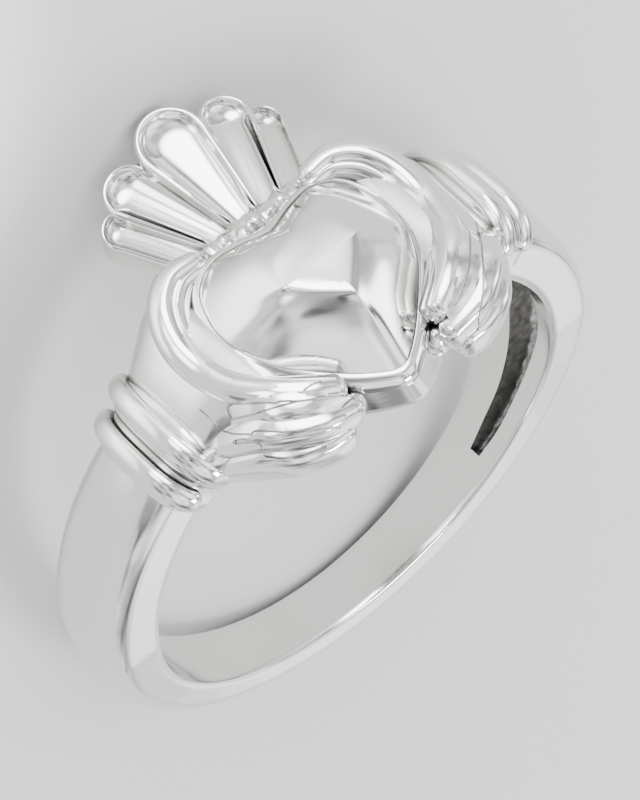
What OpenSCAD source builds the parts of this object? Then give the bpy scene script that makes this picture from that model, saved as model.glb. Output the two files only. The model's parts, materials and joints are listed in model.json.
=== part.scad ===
// Claddagh ring, cast in one piece: two hands hold a crowned heart on a finger ring.
// It is drawn upright, with x from hand to hand, y along the finger towards the crown, z out of
// the heart and the centre of the finger hole at 0,0,0. The last module lays it on its crown side.

/* [Finger hole] */
// Inside diameter, 17.3 mm for a US size 7
bore_d = 17.3; // [15.7:0.1:20.6]

/* [Shank] */
// Width at the back of the finger
back_w = 2.1; // [1.8:0.1:3]
// Width at the shoulders
shoulder_w = 3.6; // [3:0.1:4.6]
// Wall at the back, at the crest of its dome
back_wall = 1.3; // [1.15:0.05:2]
// Wall at the shoulders, at the crest of the dome
shoulder_wall = 2; // [1.7:0.05:2.6]
// Height of the dome over the flat side faces
dome_h = 0.5; // [0.3:0.05:0.8]

/* [Shoulder pockets] */
// Depth of the hollow inside each shoulder
pocket_depth = 1.05; // [0.5:0.05:1.2]
// Width of the hollow at the head, before it tapers to the back
pocket_w = 1.5; // [1:0.1:2.1]
// How far the hollow sits off the middle of the band, towards the heart's tip
pocket_off = 0.25; // [0:0.05:0.5]
// Angle from the heart to the end of the right hollow
pocket_end = 136; // [120:1:140]
// Angle from the heart to the end of the left hollow
pocket_end_left = 110; // [100:1:140]

/* [Heart] */
// Width over both lobes
heart_w = 7.88; // [6.6:0.02:9]
// Length from the tip to the top of the lobes
heart_l = 7.51; // [6.4:0.01:8.4]
// Height of the flat table in the middle over the finger hole
table_h = 4.5; // [3.9:0.1:5.2]
// Height of the heart's edge over the finger hole, at the lobes
edge_h = 3.4; // [2.8:0.1:3.7]
// Height of the heart's edge over the finger hole, at the tip
tip_h = 2.45; // [2:0.05:3]
// Height of the underside of the heart over the finger hole
under_h = 1.24; // [0.8:0.02:1.6]
// How far the heart's sides flare out below its edge
heart_flare = 0.45; // [0:0.05:0.7]

/* [Hands] */
// Thickness of a finger
finger_d = 1.15; // [0.9:0.05:1.4]
// Height of the back of a hand over the finger hole
hand_h = 3.5; // [3:0.1:4]
// Length of a hand along the band, from the edge of the heart to the wrist
hand_l = 2.66; // [2.2:0.02:3.2]

/* [Cuffs] */
// Width of each collar round a wrist
collar_w = 1.39; // [1:0.01:1.7]
// Length of a collar across the band
collar_l = 4.78; // [4.2:0.02:5.6]
// Height of the bead on each collar
bead_h = 0.29; // [0.1:0.01:0.5]
// How far the wrists sit off the middle of the band, towards the heart's tip
wrist_off = 0.41; // [0:0.01:0.7]

/* [Crown] */
// Length from the base roll to the tip of the middle lobe
crown_l = 4.85; // [4:0.05:5.6]
// Width over the outer lobes
crown_w = 7.7; // [6.8:0.1:8.6]
// Diameter of the round end of the middle lobe
lobe_d = 2.55; // [2:0.05:3]
// Thickness of the crown at its rim
crown_wall = 0.86; // [0.6:0.02:1.2]
// Depth of the flute in each lobe
flute_depth = 0.42; // [0.2:0.02:0.6]
// Height of the crown over the finger hole, at its base
crown_h = 2.79; // [2.4:0.01:3.2]
// How far the middle lobe rises from its base to its tip
crown_flare = 0.95; // [0.2:0.05:1.2]
// Thickness of the roll between the crown and the heart
roll_d = 0.76; // [0.5:0.02:1]

/* [Hidden] */

bore_r = bore_d / 2;
// How far solids reach into each other, or past a face that is cut
lap = 0.5;
// Height of the lobes' tops and of the heart's tip along the finger
heart_top = heart_l * 0.284;
heart_tip = heart_top - heart_l;

// Sums and smooth curves
function total(v, i = 0) = i == len(v) - 1 ? v[i] : v[i] + total(v, i + 1);
function middle(v) = total(v) / len(v);
function mix(a, b, t) = a + (b - a) * t;
function ease(t) = t <= 0 ? 0 : t >= 1 ? 1 : t * t * (3 - 2 * t);
// A point of a smooth curve through p, at u from 0 to the last index
function pick(p, i) = p[max(0, min(len(p) - 1, i))];
function curve(p, u) =
    let (i = min(floor(u), len(p) - 2), t = u - i,
         a = pick(p, i - 1), b = pick(p, i), c = pick(p, i + 1), d = pick(p, i + 2))
    b + t * ((c - a) + t * ((2 * a - 5 * b + 4 * c - d) + t * (3 * (b - c) + d - a))) / 2;
// n + 1 points along that curve
function run(p, n) = [for (k = [0:n]) curve(p, k / n * (len(p) - 1))];
function unit(v) = v / norm(v);

// A closed solid over rings of as many points each, fanned shut at both ends. The rings run
// counterclockwise as seen from the last one.
module skin(rings) {
    n = len(rings[0]);
    last = len(rings) - 1;
    points = concat([for (r = rings, p = r) p], [middle(rings[0]), middle(rings[last])]);
    sides = [for (i = [0:last - 1], j = [0:n - 1])
        let (a = i * n + j, b = i * n + (j + 1) % n, c = b + n, d = a + n)
        for (f = [[a, c, b], [a, d, c]]) f];
    caps = [for (j = [0:n - 1], f = [
        [j, (j + 1) % n, (last + 1) * n],
        [last * n + (j + 1) % n, last * n + j, (last + 1) * n + 1]]) f];
    polyhedron(points, concat(sides, caps), convexity = 6);
}

// A round bar along a path, as wide and as high as each of its rows [x, y, z, width, height] says,
// standing square to the finger. Its ends are rounded.
module bar(rows, sides = 9) {
    last = len(rows) - 1;
    centre = [for (r = rows) [r[0], r[1], r[2]]];
    skin([for (k = [0:last], e = k == 0 || k == last ? [0, 1] : [0])
        let (along = unit(centre[min(last, k + 1)] - centre[max(0, k - 1)]),
             out = unit([centre[k][0], 0, centre[k][2]]),
             across = unit(cross(out, along)),
             up = unit(cross(along, across)),
             tip = (k == 0 && e == 0) || (k == last && e == 1),
             way = k == 0 ? -1 : 1,
             size = tip ? 0.45 : 1,
             c = tip ? centre[k] + way * along * rows[k][3] * 0.38 : centre[k])
        [for (j = [0:sides - 1])
            let (a = 360 * j / sides)
            c + size * (across * cos(a) * rows[k][3] / 2 + up * sin(a) * rows[k][4] / 2)]]);
}

// Shank: [angle from the heart, share of the way from the back to the shoulder]
shank_rows = [[0, 1], [60, 1], [90, 0.96], [120, 0.5], [150, 0.13], [180, 0]];
function shoulder(a) =
    let (b = a > 180 ? 360 - a : a)
    (lookup(b - 8, shank_rows) + lookup(b + 8, shank_rows)) / 2;
function shank_w(a) = mix(back_w, shoulder_w, shoulder(a));
function shank_wall(a) = mix(back_wall, shoulder_wall, shoulder(a));
function round_point(r, a, y) = [r * sin(a), y, r * cos(a)];
// One section: the flat side faces, then the dome
function shank_section(a, steps = 8) =
    let (side = bore_r + shank_wall(a) - dome_h, w = shank_w(a) / 2)
    concat([[bore_r - lap, w], [bore_r - lap, -w]],
           [for (k = [0:steps]) let (t = 180 * k / steps) [side + dome_h * sin(t), -w * cos(t)]]);

module shank(steps = 72) {
    sections = [for (i = [0:steps - 1])
        let (a = 360 * i / steps) [for (p = shank_section(a)) round_point(p[0], a, p[1])]];
    n = len(sections[0]);
    polyhedron([for (s = sections, p = s) p],
        [for (i = [0:steps - 1], j = [0:n - 1])
            let (a = i * n + j, b = i * n + (j + 1) % n, k = (i + 1) % steps,
                 c = k * n + (j + 1) % n, d = k * n + j)
            for (f = [[a, b, c], [a, c, d]]) f], convexity = 6);
}

// Pocket inside a shoulder, from under the head to an end angle: [share of the way to its end,
// share of its width, share of its depth]
pocket_start = 48;
pocket_rows = [[0, 0.9, 0.8], [0.14, 1, 1], [0.48, 1, 1], [0.68, 0.68, 1], [0.8, 0.52, 0.95],
               [0.91, 0.46, 0.85], [1, 0.3, 0.5]];
module pocket(end) {
    skin([for (r = run(pocket_rows, 12))
        let (w = pocket_w / 2 * r[1], floor_r = bore_r + pocket_depth * r[2])
        [for (p = [[bore_r - 2 * lap, w], [floor_r - 0.2, w], [floor_r, w * 0.6],
                   [floor_r, -w * 0.6], [floor_r - 0.2, -w], [bore_r - 2 * lap, -w]])
            round_point(p[0], mix(pocket_start, end, r[0]), p[1] - pocket_off)]]);
}

// Heart: half of its outline from the cleft to the tip, as shares of half its width and its length
heart_half = [[0, 0.915], [0.12, 0.935], [0.36, 0.99], [0.62, 1], [0.86, 0.925], [1, 0.745],
              [1, 0.57], [0.88, 0.405], [0.67, 0.265], [0.385, 0.12], [0.12, 0.02], [0, 0]];
// Index in that list where the ridge across each lobe meets the edge
ridge_i = 5;
// Width of the rounding between the heart's side and its facets, and how far a facet swells
edge_round = 0.28;
facet_swell = 0.12;
// Middle of the heart, which its sections shrink towards
heart_mid = [0, heart_tip + heart_l * 0.55];
function heart_edge(u) =
    let (p = curve(heart_half, u)) [p[0] * heart_w / 2, heart_tip + p[1] * heart_l];
// Height of the edge over the finger hole: it dips towards the tip
function edge_r(y) =
    bore_r + mix(tip_h, edge_h, ease((y - heart_tip) / (heart_l * 0.62)));
function on_round(p, r) = [p[0], p[1], sqrt(r * r - p[0] * p[0])];
// The table's corners: at the cleft, on each lobe and towards the tip
table_top = heart_tip + heart_l * 0.737;
table_side = [heart_w * 0.19, heart_tip + heart_l * 0.549];
table_low = heart_tip + heart_l * 0.323;
// A point of the table's edge, for u as on the outline
function table_edge(u) =
    let (last = len(heart_half) - 1, up = u <= ridge_i,
         t = up ? u / ridge_i : (u - ridge_i) / (last - ridge_i), bow = heart_w * 0.035 * sin(180 * t))
    up ? [table_side[0] * t, mix(table_top, table_side[1], t)] + [bow, bow]
       : [table_side[0] * (1 - t), mix(table_side[1], table_low, t)];
// Places round half of the heart, close together where it bends most
heart_us = [for (k = [0:10]) k / 10 * ridge_i, for (k = [1:12]) mix(ridge_i, 11, k / 12)];
function both(half) = concat([for (p = half) [-p[0], p[1], p[2]]],
                             [for (k = [len(half) - 2:-1:1]) half[k]]);
function heart_ring(inset, h, facet) = both([for (u = heart_us)
    let (e = heart_edge(u), inwards = unit(heart_mid - e), t = table_edge(u))
    facet == undef ? on_round(e + inwards * inset, edge_r(e[1]) + h)
                   : mix(on_round(e + inwards * edge_round, edge_r(e[1])),
                         [t[0], t[1], bore_r + table_h], facet)
                     + [0, 0, facet_swell * sin(180 * facet)]]);
function heart_floor(size) = both([for (u = heart_us)
    on_round(mix(heart_mid, heart_edge(u), size), bore_r + under_h)]);
// The foot of its sides: a share of the flare, at a height over its underside
function heart_foot(share, up) = both([for (u = heart_us)
    let (e = heart_edge(u))
    on_round(e - unit(heart_mid - e) * heart_flare * share, bore_r + under_h + up)]);

module heart() {
    skin([heart_floor(0.4), heart_floor(0.8), heart_floor(1), heart_foot(0.85, 0.15),
          heart_foot(1, 0.35), heart_ring(0, -0.18), heart_ring(0.06, -0.08),
          heart_ring(edge_round, 0), for (facet = [0.35, 0.7, 1]) heart_ring(0, 0, facet)]);
}

// Hands: the centre of each finger, [x as a share of half the heart's width, y from the heart's
// tip as a share of its length, height over the finger hole as a share of the hand's, thickness]
cradle_rows = [[0.62, 1.02, 0.94, 0.65], [0.85, 1.02, 1, 0.85], [1.06, 0.935, 1.03, 0.95],
               [1.17, 0.785, 0.99, 1], [1.16, 0.605, 0.94, 1], [1.08, 0.445, 0.93, 1.05],
               [0.92, 0.31, 0.92, 1.05], [0.72, 0.215, 0.87, 0.95], [0.56, 0.165, 0.8, 0.8]];
middle_rows = [[1.3, 0.33, 0.78, 0.75], [1.2, 0.26, 0.87, 0.95], [1.03, 0.165, 0.86, 1],
               [0.8, 0.095, 0.77, 0.95], [0.55, 0.075, 0.66, 0.8]];
ring_rows = [[1.27, 0.28, 0.6, 0.75], [1.18, 0.205, 0.66, 0.95], [1.01, 0.11, 0.62, 1],
             [0.8, 0.06, 0.55, 0.9], [0.66, 0.05, 0.51, 0.8]];
module finger(rows, n) {
    bar([for (r = run(rows, n))
        let (d = r[3] * finger_d, r_mid = bore_r + r[2] * hand_h - d * 0.2)
        concat(on_round([r[0] * heart_w / 2, heart_tip + r[1] * heart_l], r_mid), [d, d * 1.4])]);
}

// Angle round the finger that a length at the height of the hand takes up
function turn(l) = l / (bore_r + hand_h) * 180 / PI;
wrist_a = turn(heart_w / 2 + hand_l);
// An arch across the band at angle a, from y = high over its crest to y = low
// How square an arch is, from 1 for an ellipse to 0 for a box
arch_power = 0.65;
function arch(a, low, high, crest, n = 12) =
    let (foot = bore_r + under_h - 0.05)
    [for (k = [0:n]) let (c = cos(180 * k / n), s = sin(180 * k / n))
        round_point(foot + (crest - foot) * pow(s, arch_power), a,
                    mix(high, low, (1 - sign(c) * pow(abs(c), arch_power)) / 2))];

// Back of the hand: [share of the way to the wrist, share of a collar's length over its middle to
// the heart's tip, the same to the crown, share of the hand's height]
back_rows = [[0.46, 0.85, 0.56, 0.8], [0.58, 0.8, 0.68, 0.99], [0.73, 0.7, 0.66, 1.03],
             [0.88, 0.58, 0.57, 0.96], [1.04, 0.5, 0.49, 0.84]];
module hand() {
    skin([for (r = back_rows)
        arch(wrist_a * r[0], -wrist_off - collar_l * r[1], -wrist_off + collar_l * r[2],
             bore_r + hand_h * r[3])]);
    finger(cradle_rows, 18);
    finger(middle_rows, 10);
    finger(ring_rows, 9);
}

// A round band along an arch, in n steps across it. width is its share of a collar's, and its
// edges lie lower than its crest by round_h.
module band(a, l, crest, width, round_h, n) {
    skin([for (k = [0:n])
        let (s = sin(180 * (k / n - 0.5)), drop = round_h * (1 - sqrt(1 - s * s)))
        arch(a + turn(collar_w * width) / 2 * s, drop - l / 2 - wrist_off, l / 2 - wrist_off - drop,
             crest - drop)]);
}

// Cuff: two collars side by side, each with a bead on it, the outer one a little smaller.
// [share of a collar's length, crest as a share of the hand's height]
collar_rows = [[1, 0.9], [0.9, 0.82]];
// Widths of a collar and of its bead, as shares of collar_w, and how round their edges are
collar_share = 1.1;
bead_share = 0.56;
collar_round = 0.3;
bead_round = 0.38;
module cuff() {
    for (k = [0:len(collar_rows) - 1]) {
        a = wrist_a + turn(collar_w) * (k + 0.5);
        l = collar_l * collar_rows[k][0];
        crest = bore_r + hand_h * collar_rows[k][1];
        band(a, l, crest, collar_share, collar_round, 6);
        band(a, l - bead_h / 2, crest + bead_h, bead_share, bead_round, 5);
    }
}

// Crown, for each lobe: [x of its foot and of the centre of its round end as shares of the crown's
// width, y of that centre as a share of its length, share of lobe_d, share of the flare]
lobe_rows = [[0, 0, 0.735, 0.5, 1], [0.13, 0.265, 0.695, 0.37, 0.5],
             [0.265, 0.39, 0.56, 0.28, 0.15]];
crown_base = heart_top + roll_d * 0.5;
// Radius of each lobe at its foot
lobe_foot = crown_w * 0.083;
// Outline of a lobe, drawn from the tip round its end to its foot and back
lobe_steps = 22;
function lobe_point(row, j, inset) =
    let (foot = [row[0] * crown_w, crown_base + roll_d * 0.4],
         end = [row[1] * crown_w, crown_base + row[2] * crown_l],
         along = unit(end - foot), side = [along[1], -along[0]],
         a = 360 * j / lobe_steps, outer = cos(a) > -0.2,
         r = max(0.02, (outer ? row[3] * lobe_d : lobe_foot) - inset))
    (outer ? end : foot) + along * r * cos(a) + side * r * sin(a);
// A ring of a lobe: so far inside its outline, and so far over or under the crown's surface
function lobe_ring(row, inset, h) = [for (j = [lobe_steps - 1:-1:0])
    let (p = lobe_point(row, j, inset),
         rise = row[4] * crown_flare * (p[1] - crown_base) / crown_l)
    on_round(p, bore_r + crown_h + rise + h)];

module lobe(row) {
    w = row[3] * lobe_d;
    skin([lobe_ring(row, w * 0.7, -crown_wall), lobe_ring(row, 0.05, -crown_wall),
          lobe_ring(row, 0, -crown_wall + 0.1), lobe_ring(row, 0, -0.16),
          lobe_ring(row, w * 0.1, 0), lobe_ring(row, w * 0.24, -0.04),
          lobe_ring(row, w * 0.4, -flute_depth * 0.75), lobe_ring(row, w * 0.75, -flute_depth)]);
}

// The roll at the foot of the crown, with soft beads along it
module base_roll() {
    half = crown_w * 0.33;
    beads = 9;
    bar([for (k = [0:36]) let (x = mix(-half, half, k / 36), swell = 1 + 0.12 * cos(k * 10 * beads))
        concat(on_round([x, heart_top - roll_d * 0.05], bore_r + crown_h),
               [roll_d * 1.4 * swell, roll_d * 1.2 * swell])], 8);
}

module crown() {
    for (row = lobe_rows) {
        lobe(row);
        if (row[0] > 0) mirror([1, 0, 0]) lobe(row);
    }
    base_roll();
}

// Lying attitude: the middle lobe's lower edge and the back of the shank touch the surface
tip_low = lobe_ring(lobe_rows[0], 0, -crown_wall + 0.1)[lobe_steps - 1];
back_edge = [0, shank_w(180) / 2, dome_h - bore_r - shank_wall(180)];
lean = atan((tip_low[1] - back_edge[1]) / (tip_low[2] - back_edge[2]));
floor_y = tip_low[1] * cos(lean) - tip_low[2] * sin(lean);
// Its front and back ends then, so that it can be centred over the origin
function forward(p) = p[1] * sin(lean) + p[2] * cos(lean);
front = max([for (p = lobe_ring(lobe_rows[0], lobe_rows[0][3] * lobe_d * 0.1, 0)) forward(p)]);
back = min([for (p = shank_section(180)) forward([0, p[1], -p[0]])]);

module lay_down() {
    translate([0, (front + back) / 2, floor_y]) rotate([0, 0, 180]) rotate([lean - 90, 0, 0])
        children();
}

module ring() {
    color("gainsboro") lay_down() difference() {
        resize([0, 0, 0]) difference() {
            union() {
                shank();
                heart();
                crown();
                for (side = [0, 1]) mirror([side, 0, 0]) {
                    hand();
                    cuff();
                }
            }
            pocket(pocket_end);
            mirror([1, 0, 0]) pocket(pocket_end_left);
        }
        rotate([90, 90, 0]) cylinder(h = 4 * shoulder_w, r = bore_r, center = true, $fn = 96);
    }
}

ring();
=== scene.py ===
# A claddagh ring, cast in one piece of white metal and polished. Each feature is modelled as a
# closed form on an upright ring, in millimetres: x from hand to hand, y along the finger towards
# the crown, z out of the heart, with the middle of the finger hole at 0,0,0.
import json
import math

import bmesh
import bpy
import numpy as np
from mathutils import Matrix, Vector
from mathutils.bvhtree import BVHTree


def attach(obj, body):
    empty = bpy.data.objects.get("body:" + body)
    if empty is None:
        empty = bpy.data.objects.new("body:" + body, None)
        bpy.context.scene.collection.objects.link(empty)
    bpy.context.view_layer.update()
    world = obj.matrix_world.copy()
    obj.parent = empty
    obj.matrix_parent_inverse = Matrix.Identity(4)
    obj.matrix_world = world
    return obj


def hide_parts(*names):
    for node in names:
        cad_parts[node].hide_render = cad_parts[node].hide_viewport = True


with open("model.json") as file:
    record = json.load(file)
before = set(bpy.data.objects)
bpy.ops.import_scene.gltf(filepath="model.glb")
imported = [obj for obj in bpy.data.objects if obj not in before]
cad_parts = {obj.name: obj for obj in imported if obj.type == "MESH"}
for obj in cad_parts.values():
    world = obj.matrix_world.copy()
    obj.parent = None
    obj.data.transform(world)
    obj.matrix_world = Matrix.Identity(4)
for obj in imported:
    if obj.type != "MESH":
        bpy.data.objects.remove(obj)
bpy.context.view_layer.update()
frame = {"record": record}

# Finger hole. The ring lies on its crown side, so the hole leans from upright. Its middle, lean
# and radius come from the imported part, and every form below is laid down by them.
hole = frame["record"]["mounts"][0]
bore_r = hole["dims"]["r_mm"]
hole_y, hole_z = hole["pos_m"][1:]
lean_sin, lean_cos = hole["axis"][1:]


def lay_down(points):
    """Points of the upright ring in millimetres, to metres as the ring lies."""
    x, y, z = np.asarray(points, float).reshape(-1, 3).T / 1000
    return np.column_stack([-x, hole_y - y * lean_sin - z * lean_cos,
                            hole_z - y * lean_cos + z * lean_sin])


# Shank. The band is narrow and thin at the back of the finger and widens to the shoulders, with
# flat sides, a low dome outside and a bore that is rounded at its edges. It is cast, then turned
# and polished, so its shape follows one rule all the way round.
back_w, shoulder_w = 2.1, 3.6
back_wall, shoulder_wall = 1.3, 2.0
dome_h = 0.5
# [share of half a turn from the heart, share of the way from the back to the shoulder]
shoulder_rows = [(0, 1), (0.33, 1), (0.5, 0.93), (0.58, 0.72), (0.667, 0.47), (0.75, 0.28),
                 (0.833, 0.13), (0.92, 0.04), (1, 0.01)]
# [share of the way round the section, half width from 0 to 1, share of the side's height,
# share of the dome's height], from the middle of the bore
section_rows = [(0, 0.5, 0, 0), (0.12, 0.93, 0, 0), (0.135, 0.985, 0.03, 0), (0.15, 1, 0.12, 0),
                (0.26, 1, 0.94, 0), (0.275, 0.992, 0.985, 0.05), (0.29, 0.975, 1, 0.2),
                (0.335, 0.89, 1, 0.62), (0.39, 0.75, 1, 0.87), (0.45, 0.6, 1, 0.985), (0.5, 0.5, 1, 1)]
section_rows += [(1 - a, 1 - b, c, d) for a, b, c, d in reversed(section_rows[:-1])]


def add(tree, kind, inputs=None, **settings):
    """Adds a node to a tree. Each input is a value, or the socket that feeds it."""
    node = tree.nodes.new(kind)
    for key, value in settings.items():
        setattr(node, key, value)
    for key, value in (inputs or {}).items():
        if isinstance(value, bpy.types.NodeSocket):
            tree.links.new(value, node.inputs[key])
        else:
            node.inputs[key].default_value = value
    return node


def linear(code):
    """An sRGB hex colour as linear values."""
    parts = [int(code[i:i + 2], 16) / 255 for i in (1, 3, 5)]
    return [c / 12.92 if c <= 0.04045 else ((c + 0.055) / 1.055) ** 2.4 for c in parts] + [1]


# Rhodium-plated sterling silver, cast and then polished on a wheel: a slightly dark mirror. Polishing
# leaves fine hairlines and a faint haze. Painted shade darkens the colour in the creases, by how
# occluded they are.
def polished_silver():
    material = bpy.data.materials.new("rhodium plated silver polished")
    material.use_nodes = True
    tree = material.node_tree
    shader = tree.nodes["Principled BSDF"]
    shader.inputs["Metallic"].default_value = 1
    place = add(tree, "ShaderNodeTexCoord").outputs["Object"]

    # Painted shade darkens creases up to 0.6 mm across, over a plating with clouds about 4 mm across
    crease = add(tree, "ShaderNodeAmbientOcclusion", {"Distance": 0.0006}, samples=12)
    crease_shade = add(tree, "ShaderNodeMapRange", {
        "Value": crease.outputs["AO"], "From Min": 0.22, "From Max": 0.8,
        "To Min": 1.0, "To Max": 0.0}, interpolation_type="SMOOTHSTEP")
    cloud = add(tree, "ShaderNodeTexNoise", {"Vector": place, "Scale": 1 / 0.004, "Detail": 3.0})
    plating = add(tree, "ShaderNodeMix", {
        "Factor": cloud.outputs[0], "A": linear("#DAD9D6"), "B": linear("#E4E3E0")}, data_type="RGBA")
    # Painted shade: where a crease is occluded, the plating's colour gives way to dark grey #4E4D4C
    colour = add(tree, "ShaderNodeMix", {
        "Factor": crease_shade.outputs[0], "A": plating.outputs["Result"], "B": linear("#4E4D4C")},
        data_type="RGBA")
    tree.links.new(colour.outputs["Result"], shader.inputs["Base Color"])

    # Haze about 0.7 mm across, and hairlines 0.06 mm apart, from side to side and across the band
    haze = add(tree, "ShaderNodeTexNoise", {"Vector": place, "Scale": 1 / 0.0007, "Detail": 4.0})
    gloss = add(tree, "ShaderNodeMapRange", {
        "Value": haze.outputs[0], "From Min": 0.3, "From Max": 0.7, "To Min": 0.07, "To Max": 0.14})
    rough = add(tree, "ShaderNodeMath", {0: crease_shade.outputs[0], 1: 0.25, 2: gloss.outputs[0]},
                operation="MULTIPLY_ADD")
    tree.links.new(rough.outputs[0], shader.inputs["Roughness"])
    stretch = add(tree, "ShaderNodeMapping", {"Vector": place, "Scale": (1.0, 14.0, 1.0)})
    lines = add(tree, "ShaderNodeTexNoise", {"Vector": stretch.outputs[0], "Scale": 1 / 0.0009,
                                             "Detail": 2.0})
    relief = add(tree, "ShaderNodeBump", {"Height": lines.outputs[0], "Strength": 0.05,
                                          "Distance": 0.00002})
    tree.links.new(relief.outputs[0], shader.inputs["Normal"])
    return material


def new_tree(name, inputs):
    """A geometry tree with named inputs, and its two end nodes."""
    tree = bpy.data.node_groups.new(name, "GeometryNodeTree")
    tree.interface.new_socket("Geometry", in_out="INPUT", socket_type="NodeSocketGeometry")
    tree.interface.new_socket("Geometry", in_out="OUTPUT", socket_type="NodeSocketGeometry")
    for label, kind in {**inputs, "Metal": "NodeSocketMaterial"}.items():
        tree.interface.new_socket(label, in_out="INPUT", socket_type=kind)
    return tree, tree.nodes.new("NodeGroupInput"), tree.nodes.new("NodeGroupOutput")


def end_tree(tree, given, out, geometry):
    """Makes what a tree has grown real, and all of it of one metal."""
    real = add(tree, "GeometryNodeRealizeInstances", {"Geometry": geometry})
    metal = add(tree, "GeometryNodeSetMaterial", {"Geometry": real.outputs[0],
                                                  "Material": given.outputs["Metal"]})
    tree.links.new(metal.outputs[0], out.inputs[0])


def grow(name, tree, values, mesh=None):
    """The mesh that a geometry tree makes, as an object of its own."""
    seed = bpy.data.objects.new(name + "_seed", mesh or bpy.data.meshes.new(name + "_seed"))
    bpy.context.scene.collection.objects.link(seed)
    modifier = seed.modifiers.new("nodes", "NODES")
    modifier.node_group = tree
    sockets = {s.name: s.identifier for s in tree.interface.items_tree if s.in_out == "INPUT"}
    for label, value in values.items():
        modifier[sockets[label]] = value
    bpy.context.view_layer.update()
    ready = seed.evaluated_get(bpy.context.evaluated_depsgraph_get())
    piece = bpy.data.objects.new(name, bpy.data.meshes.new_from_object(ready))
    piece.data.name = name
    bpy.data.objects.remove(seed)
    bpy.context.scene.collection.objects.link(piece)
    return piece


def shank_tree():
    """Bends a flat grid round the finger, with its section worked out at each point."""
    sizes = ("Bore radius", "Back width", "Shoulder width", "Back wall", "Shoulder wall", "Dome")
    tree, given, out = new_tree("shank sweep", {
        **{size: "NodeSocketFloat" for size in sizes},
        "Sections": "NodeSocketInt", "Points": "NodeSocketInt"})
    grid = add(tree, "GeometryNodeMeshGrid", {
        "Size X": 1.0, "Size Y": 1.0,
        "Vertices X": given.outputs["Sections"], "Vertices Y": given.outputs["Points"]})
    place = add(tree, "ShaderNodeSeparateXYZ", {0: grid.outputs["UV Map"]})
    around, across = place.outputs[0], place.outputs[1]
    both_ways = add(tree, "ShaderNodeMath", {0: around, 1: 2.0}, operation="MULTIPLY")
    half_turn = add(tree, "ShaderNodeMath", {0: both_ways.outputs[0], 1: 1.0}, operation="PINGPONG")

    shares = []
    curves = [(half_turn.outputs[0], shoulder_rows)]
    curves += [(across, [(row[0], row[k]) for row in section_rows]) for k in (1, 2, 3)]
    for source, rows in curves:
        node = add(tree, "ShaderNodeFloatCurve", {"Value": source})
        curve = node.mapping.curves[0]
        while len(curve.points) < len(rows):
            curve.points.new(0.5, 0.5)
        for point, spot in zip(curve.points, rows):
            point.location = spot
            point.handle_type = "VECTOR"
        node.mapping.update()
        shares.append(node.outputs[0])
    shoulder, half, side, dome = shares

    width = add(tree, "ShaderNodeMix", {"Factor": shoulder, "A": given.outputs["Back width"],
                                        "B": given.outputs["Shoulder width"]})
    wall = add(tree, "ShaderNodeMix", {"Factor": shoulder, "A": given.outputs["Back wall"],
                                       "B": given.outputs["Shoulder wall"]})
    off = add(tree, "ShaderNodeMath", {0: half, 1: 0.5}, operation="SUBTRACT")
    y = add(tree, "ShaderNodeMath", {0: width.outputs[0], 1: off.outputs[0]}, operation="MULTIPLY")
    flat = add(tree, "ShaderNodeMath", {0: wall.outputs[0], 1: given.outputs["Dome"]},
               operation="SUBTRACT")
    side_up = add(tree, "ShaderNodeMath", {0: side, 1: flat.outputs[0]}, operation="MULTIPLY")
    dome_up = add(tree, "ShaderNodeMath", {0: dome, 1: given.outputs["Dome"]}, operation="MULTIPLY")
    up = add(tree, "ShaderNodeMath", {0: side_up.outputs[0], 1: dome_up.outputs[0]}, operation="ADD")
    radius = add(tree, "ShaderNodeMath", {0: given.outputs["Bore radius"], 1: up.outputs[0]},
                 operation="ADD")
    turn = add(tree, "ShaderNodeMath", {0: around, 1: math.tau}, operation="MULTIPLY")
    sine = add(tree, "ShaderNodeMath", {0: turn.outputs[0]}, operation="SINE")
    cosine = add(tree, "ShaderNodeMath", {0: turn.outputs[0]}, operation="COSINE")
    x = add(tree, "ShaderNodeMath", {0: radius.outputs[0], 1: sine.outputs[0]}, operation="MULTIPLY")
    z = add(tree, "ShaderNodeMath", {0: radius.outputs[0], 1: cosine.outputs[0]}, operation="MULTIPLY")
    point = add(tree, "ShaderNodeCombineXYZ", {0: x.outputs[0], 1: y.outputs[0], 2: z.outputs[0]})
    moved = add(tree, "GeometryNodeSetPosition", {"Geometry": grid.outputs["Mesh"],
                                                  "Position": point.outputs[0]})
    closed = add(tree, "GeometryNodeMergeByDistance", {"Geometry": moved.outputs[0],
                                                       "Distance": 0.0005})
    end_tree(tree, given, out, closed.outputs[0])
    return tree


def face_outwards(mesh):
    work = bmesh.new()
    work.from_mesh(mesh)
    bmesh.ops.recalc_face_normals(work, faces=work.faces)
    work.to_mesh(mesh)
    work.free()


silver = polished_silver()
# The last section and the last point of a section fall on the first ones and are merged with them
shank = grow("shank", shank_tree(), {
    "Bore radius": bore_r, "Back width": back_w, "Shoulder width": shoulder_w,
    "Back wall": back_wall, "Shoulder wall": shoulder_wall, "Dome": dome_h,
    "Sections": 361, "Points": 61, "Metal": silver})
upright = np.empty(len(shank.data.vertices) * 3)
shank.data.vertices.foreach_get("co", upright)
shank.data.vertices.foreach_set("co", lay_down(upright).ravel())
face_outwards(shank.data)


# Shoulder pockets. Inside each shoulder the metal is hollowed to save weight. The hollow tapers
# towards the back of the finger and keeps the coarse grain of the mould, because no tool reaches it.
pocket_depth, pocket_w, pocket_off = 1.05, 1.5, 0.25
# How far the form that cuts a pocket reaches into the finger hole
pocket_lap = 1.0
# Degrees from the heart to the start of both pockets, and to the end of the right and the left one
pocket_start, pocket_end, pocket_end_left = 48, 136, 110
# [share of the way to its end, share of the width, share of the depth]
pocket_rows = [(0, 0.9, 0.8), (0.14, 1, 1), (0.48, 1, 1), (0.68, 0.68, 1), (0.8, 0.52, 0.95),
               (0.91, 0.46, 0.85), (1, 0.3, 0.5)]
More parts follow.
